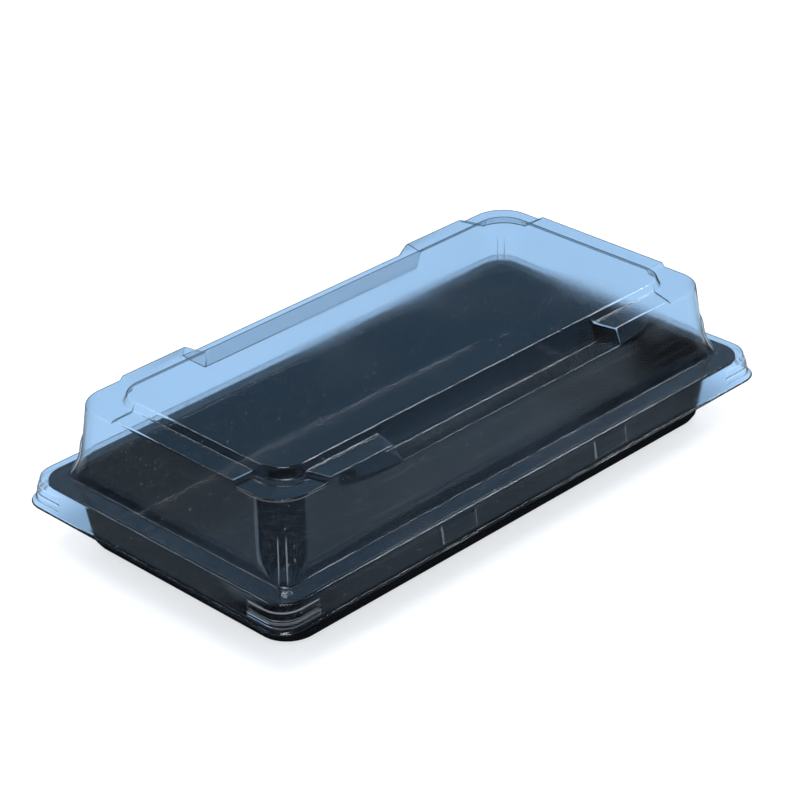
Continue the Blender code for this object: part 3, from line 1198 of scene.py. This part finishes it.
                    fade = add_node(
                        tree,
                        "ShaderNodeMapRange",
                        {"interpolation_type": "SMOOTHSTEP"},
                        {
                            "Value": measures[limit.measure],
                            "From Min": edge,
                            "From Max": fade_end,
                            "To Min": 0.0 if rises else 1.0,
                            "To Max": 1.0 if rises else 0.0,
                        },
                    )
                    limit_share = add_node(
                        tree, "ShaderNodeMath", {"operation": "MULTIPLY"}, {0: limit_share, 1: fade}
                    )
                share = add_node(tree, "ShaderNodeMath", {"operation": "MULTIPLY"}, {0: share, 1: limit_share})
                if edge_share is None:
                    rest = add_node(tree, "ShaderNodeMath", {"operation": "SUBTRACT"}, {0: 1.0, 1: share})
                    edge_share = add_node(tree, "ShaderNodeMath", {"operation": "MULTIPLY"}, {0: share, 1: rest})
                else:
                    edge_share = add_node(
                        tree, "ShaderNodeMath", {"operation": "MULTIPLY"}, {0: edge_share, 1: limit_share}
                    )
            pushed = add_node(
                tree,
                "ShaderNodeMath",
                {"operation": "MULTIPLY"},
                {0: share, 1: start.outputs[f"{pressing.name} Depth"]},
            )
            depth = add_node(tree, "ShaderNodeMath", {"operation": "ADD"}, {0: depth, 1: pushed})
            painted_edge_highlight = add_node(tree, "ShaderNodeMath", {"operation": "MAXIMUM"}, {0: painted_edge_highlight, 1: edge_share})
        outward = add_node(
            tree, "GeometryNodeInputNamedAttribute", {"data_type": "FLOAT_VECTOR"}, {"Name": OUTWARD}
        )
        move = add_node(tree, "ShaderNodeVectorMath", {"operation": "SCALE"}, {0: outward, "Scale": depth})
        pressed = add_node(
            tree, "GeometryNodeSetPosition", feeds={"Geometry": start.outputs["Geometry"], "Offset": move}
        )
        # Painted highlight lines along the pressings' edges, stored for the lid's material.
        rubbing = add_node(tree, "ShaderNodeMath", {"operation": "MULTIPLY"}, {0: painted_edge_highlight, 1: 4.0})
        marked = add_node(
            tree,
            "GeometryNodeStoreNamedAttribute",
            {"data_type": "FLOAT", "domain": "POINT"},
            {"Geometry": pressed, "Name": EDGE_HIGHLIGHT, "Value": rubbing},
        )
        real = add_node(tree, "GeometryNodeRealizeInstances", feeds={"Geometry": marked})
        dressed = add_node(
            tree,
            "GeometryNodeSetMaterial",
            feeds={"Geometry": real, "Material": start.outputs["Material"]},
        )
        tree.links.new(dressed.outputs[0], end.inputs[0])
        return tree, values

    def build(self) -> bpy.types.Object:
        """Make the lid's mesh, press its details in and dress it.

        Returns:
            The finished piece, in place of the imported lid.
        """
        piece = new_piece("clear_lid", self.sheet_mesh())
        tree, values = self.press_tree()
        apply_tree(piece, tree, {**values, "Material": self.finish.material()})
        piece.data.attributes.remove(piece.data.attributes[OUTWARD])
        face_outwards(piece.data)
        return piece


# ---------------------------------------------------------------------------------------------------
# Studio
# ---------------------------------------------------------------------------------------------------


@dataclass(frozen=True)
class SoftBox:
    """A soft rectangular lamp that faces a point over the tray."""

    name: str
    place: tuple[float, float, float]
    size: tuple[float, float]
    power: float
    colour: str = "#ffffff"

    def build(self, target: Vector) -> None:
        """Hang the lamp so that it faces the target."""
        lamp = bpy.data.lights.new(self.name, "AREA")
        lamp.shape = "RECTANGLE"
        lamp.size, lamp.size_y = self.size
        lamp.energy = self.power
        lamp.color = linear(self.colour)[:3]
        holder = bpy.data.objects.new(self.name, lamp)
        holder.location = self.place
        holder.rotation_mode = "QUATERNION"
        holder.rotation_quaternion = (target - Vector(self.place)).to_track_quat("-Z", "Y")
        bpy.context.scene.collection.objects.link(holder)


@dataclass
class Studio:
    """Pale paper, plain soft light and the camera.

    The room is white. In reflections it is a dim grey blue, darker higher up round the lamp, so that
    the gloss doesn't wash the black out and the bends get thin light lines.
    """

    paper: Finish
    floor_size: float = 8.0
    room: str = "#f3f6fb"
    mirrored_low: str = "#63819c"
    mirrored_high: str = "#2a3038"
    mirrored_corner: str = "#0b0d0f"
    corner_start: float = 0.45
    corner_end: float = 0.8
    corner_top: float = 22.0
    high_start: float = 36.0
    high_end: float = 46.0
    azimuth: float = 44.385
    elevation: float = 28.751
    roll: float = -1.796
    distance: float = 0.897
    aim_right: float = 0.00161
    aim_up: float = -0.02419
    lens: float = 125.8
    lamps: tuple[SoftBox, ...] = (
        SoftBox("overhead_softbox", (0.0, 0.0, 1.5), (0.5, 0.5), 6.0),
        SoftBox("right_softbox", (0.83, 0.04, 1.07), (0.33, 0.33), 3.0),
        SoftBox("back_softbox", (0.04, 0.83, 1.07), (0.33, 0.33), 1.0),
    )

    def build_floor(self) -> bpy.types.Object:
        """Lay the paper under the tray."""
        half = self.floor_size / 2
        mesh = bpy.data.meshes.new("paper_floor")
        corners = [(-half, -half, 0.0), (half, -half, 0.0), (half, half, 0.0), (-half, half, 0.0)]
        mesh.from_pydata(corners, [], [(0, 1, 2, 3)])
        mesh.materials.append(self.paper.material())
        floor = new_piece("paper_floor", mesh)
        return floor

    def build_light(self) -> None:
        """Set the even light of the room and hang the lamps."""
        world = bpy.data.worlds.new("soft_room")
        world.use_nodes = True
        tree = world.node_tree
        tree.nodes.clear()
        seen = add_node(tree, "ShaderNodeBackground", feeds={"Color": linear(self.room)})
        direction = add_node(tree, "ShaderNodeTexCoord").outputs["Generated"]
        axes = add_node(tree, "ShaderNodeSeparateXYZ", feeds={0: direction})
        high = add_node(
            tree,
            "ShaderNodeMapRange",
            {"interpolation_type": "SMOOTHSTEP"},
            {
                "Value": axes.outputs[2],
                "From Min": math.sin(math.radians(self.high_start)),
                "From Max": math.sin(math.radians(self.high_end)),
            },
        )
        diagonal = add_node(tree, "ShaderNodeMath", {"operation": "ADD"}, {0: axes.outputs[0], 1: axes.outputs[1]})
        towards = add_node(tree, "ShaderNodeMath", {"operation": "ABSOLUTE"}, {0: diagonal})
        corner = add_node(
            tree,
            "ShaderNodeMapRange",
            {"interpolation_type": "SMOOTHSTEP"},
            {
                "Value": towards,
                "From Min": self.corner_start * math.sqrt(2.0),
                "From Max": self.corner_end * math.sqrt(2.0),
            },
        )
        low = add_node(
            tree,
            "ShaderNodeMapRange",
            {"interpolation_type": "SMOOTHSTEP"},
            {
                "Value": axes.outputs[2],
                "From Min": math.sin(math.radians(self.corner_top - 8.0)),
                "From Max": math.sin(math.radians(self.corner_top)),
                "To Min": 1.0,
                "To Max": 0.0,
            },
        )
        low_corner = add_node(tree, "ShaderNodeMath", {"operation": "MULTIPLY"}, {0: corner, 1: low})
        side = add_node(
            tree,
            "ShaderNodeMix",
            {"data_type": "RGBA"},
            {"Factor": low_corner, 6: linear(self.mirrored_low), 7: linear(self.mirrored_corner)},
        )
        dim = add_node(
            tree,
            "ShaderNodeMix",
            {"data_type": "RGBA"},
            {"Factor": high, 6: side.outputs[2], 7: linear(self.mirrored_high)},
        )
        reflected = add_node(tree, "ShaderNodeBackground", feeds={"Color": dim.outputs[2]})
        room = by_path(tree, seen, seen, reflected)
        add_node(tree, "ShaderNodeOutputWorld", feeds={"Surface": room})
        scene = bpy.context.scene
        scene.world = world
        scene.view_settings.view_transform = "Standard"
        for lamp in self.lamps:
            lamp.build(Vector((0.0, 0.0, 0.02)))

    def build_camera(self) -> None:
        """Place the camera and make it the scene's."""
        azimuth, elevation, roll = (math.radians(angle) for angle in (self.azimuth, self.elevation, self.roll))
        look = Vector(
            (
                math.cos(elevation) * math.sin(azimuth),
                math.cos(elevation) * math.cos(azimuth),
                -math.sin(elevation),
            )
        )
        level_right = look.cross(Vector((0.0, 0.0, 1.0))).normalized()
        level_up = level_right.cross(look)
        right = level_right * math.cos(roll) + level_up * math.sin(roll)
        up = level_up * math.cos(roll) - level_right * math.sin(roll)
        camera = bpy.data.cameras.new("camera")
        camera.sensor_width = 36.0
        camera.lens = self.lens
        camera.clip_start, camera.clip_end = 0.01, 50.0
        holder = bpy.data.objects.new("camera", camera)
        place = -look * self.distance - right * self.aim_right - up * self.aim_up
        axes = Matrix((right, up, -look)).transposed().to_4x4()
        holder.matrix_world = Matrix.Translation(place) @ axes
        bpy.context.scene.collection.objects.link(holder)
        bpy.context.scene.camera = holder


# ---------------------------------------------------------------------------------------------------
# The pack
# ---------------------------------------------------------------------------------------------------


def fit(piece: bpy.types.Object, node: str) -> None:
    """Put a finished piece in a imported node's place and report it.

    Args:
        piece: The finished piece.
        node: Node that it stands for.
    """
    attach(piece, BODY)
    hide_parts(node)
    triangles = sum(len(face.vertices) - 2 for face in piece.data.polygons)
    size = piece.dimensions / MM
    LOG.info("%s: %d triangles, %.1f x %.1f x %.1f mm", piece.name, triangles, *size)


def main() -> None:
    """Build the tray, its lid and the studio, and note the sizes of both models."""
    logging.basicConfig(level=logging.INFO, format="%(message)s")
    outline = Outline.from_frame()
    pieces: tuple[tuple[Callable[[], bpy.types.Object], str, str], ...] = (
        (TrayBase(outline, BlackPolystyrene()).build, "tray", "black_plastic"),
        (ClearLid(outline, ClearPolystyrene()).build, "lid", "clear_plastic"),
    )
    for build, node, slot in pieces:
        fit(build(), node)
    studio = Studio(StudioPaper(outline))
    studio.build_floor()
    studio.build_light()
    studio.build_camera()


if __name__ == "__main__":
    main()
